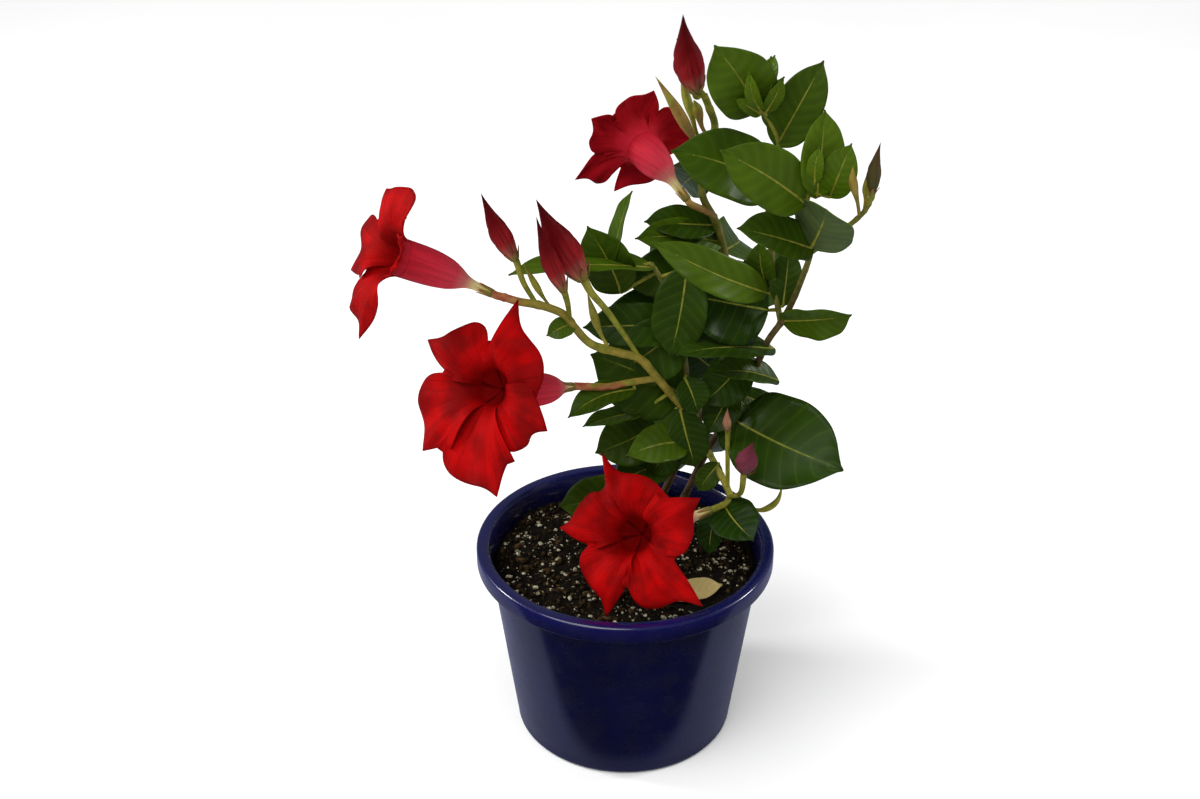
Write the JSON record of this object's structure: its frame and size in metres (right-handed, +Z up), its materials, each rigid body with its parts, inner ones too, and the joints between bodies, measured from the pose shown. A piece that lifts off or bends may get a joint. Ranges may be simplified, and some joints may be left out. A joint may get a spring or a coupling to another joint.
{
  "type": "potted mandevilla",
  "caption": "Potted mandevilla: leafy vines with open red trumpet flowers and furled buds, rooted in dark potting mix in a squat round nursery pot.",
  "frame": {"origin": "centre of the pot's flat base", "axes": "+Z up, -Y towards the front of the picture, +X to its right"},
  "size_m": [0.2244, 0.1668, 0.3457],
  "materials": {
    "pot": "glossy moulded plastic, dark blue",
    "soil": "coarse dark potting mix with pale perlite grains",
    "foliage": "glossy dark green leaves and stems",
    "bloom": "velvety deep red petals",
    "bud": "furled dark red petals, slight sheen",
    "pale_bud": "pale pink, matt",
    "dead_leaf": "dry and yellow"
  },
  "bodies": {
    "root": {"mandevilla_pot": "pot", "mandevilla_soil": "soil", "mandevilla_vine_right": "foliage", "mandevilla_vine_top": "foliage", "mandevilla_vine_left": "foliage", "mandevilla_bloom_left": "bloom", "mandevilla_bloom_lower_left": "bloom", "mandevilla_bloom_bottom": "bloom", "mandevilla_bloom_upper": "bloom", "mandevilla_bud_top": "bud", "mandevilla_bud_top_slim": "bud", "mandevilla_bud_left": "bud", "mandevilla_bud_left_behind": "bud", "mandevilla_bud_far_left": "bud", "mandevilla_bud_right": "bud", "mandevilla_bud_spent": "bud", "mandevilla_bud_pale": "pale_bud", "mandevilla_dead_leaf": "dead_leaf"}
  },
  "joints": []
}
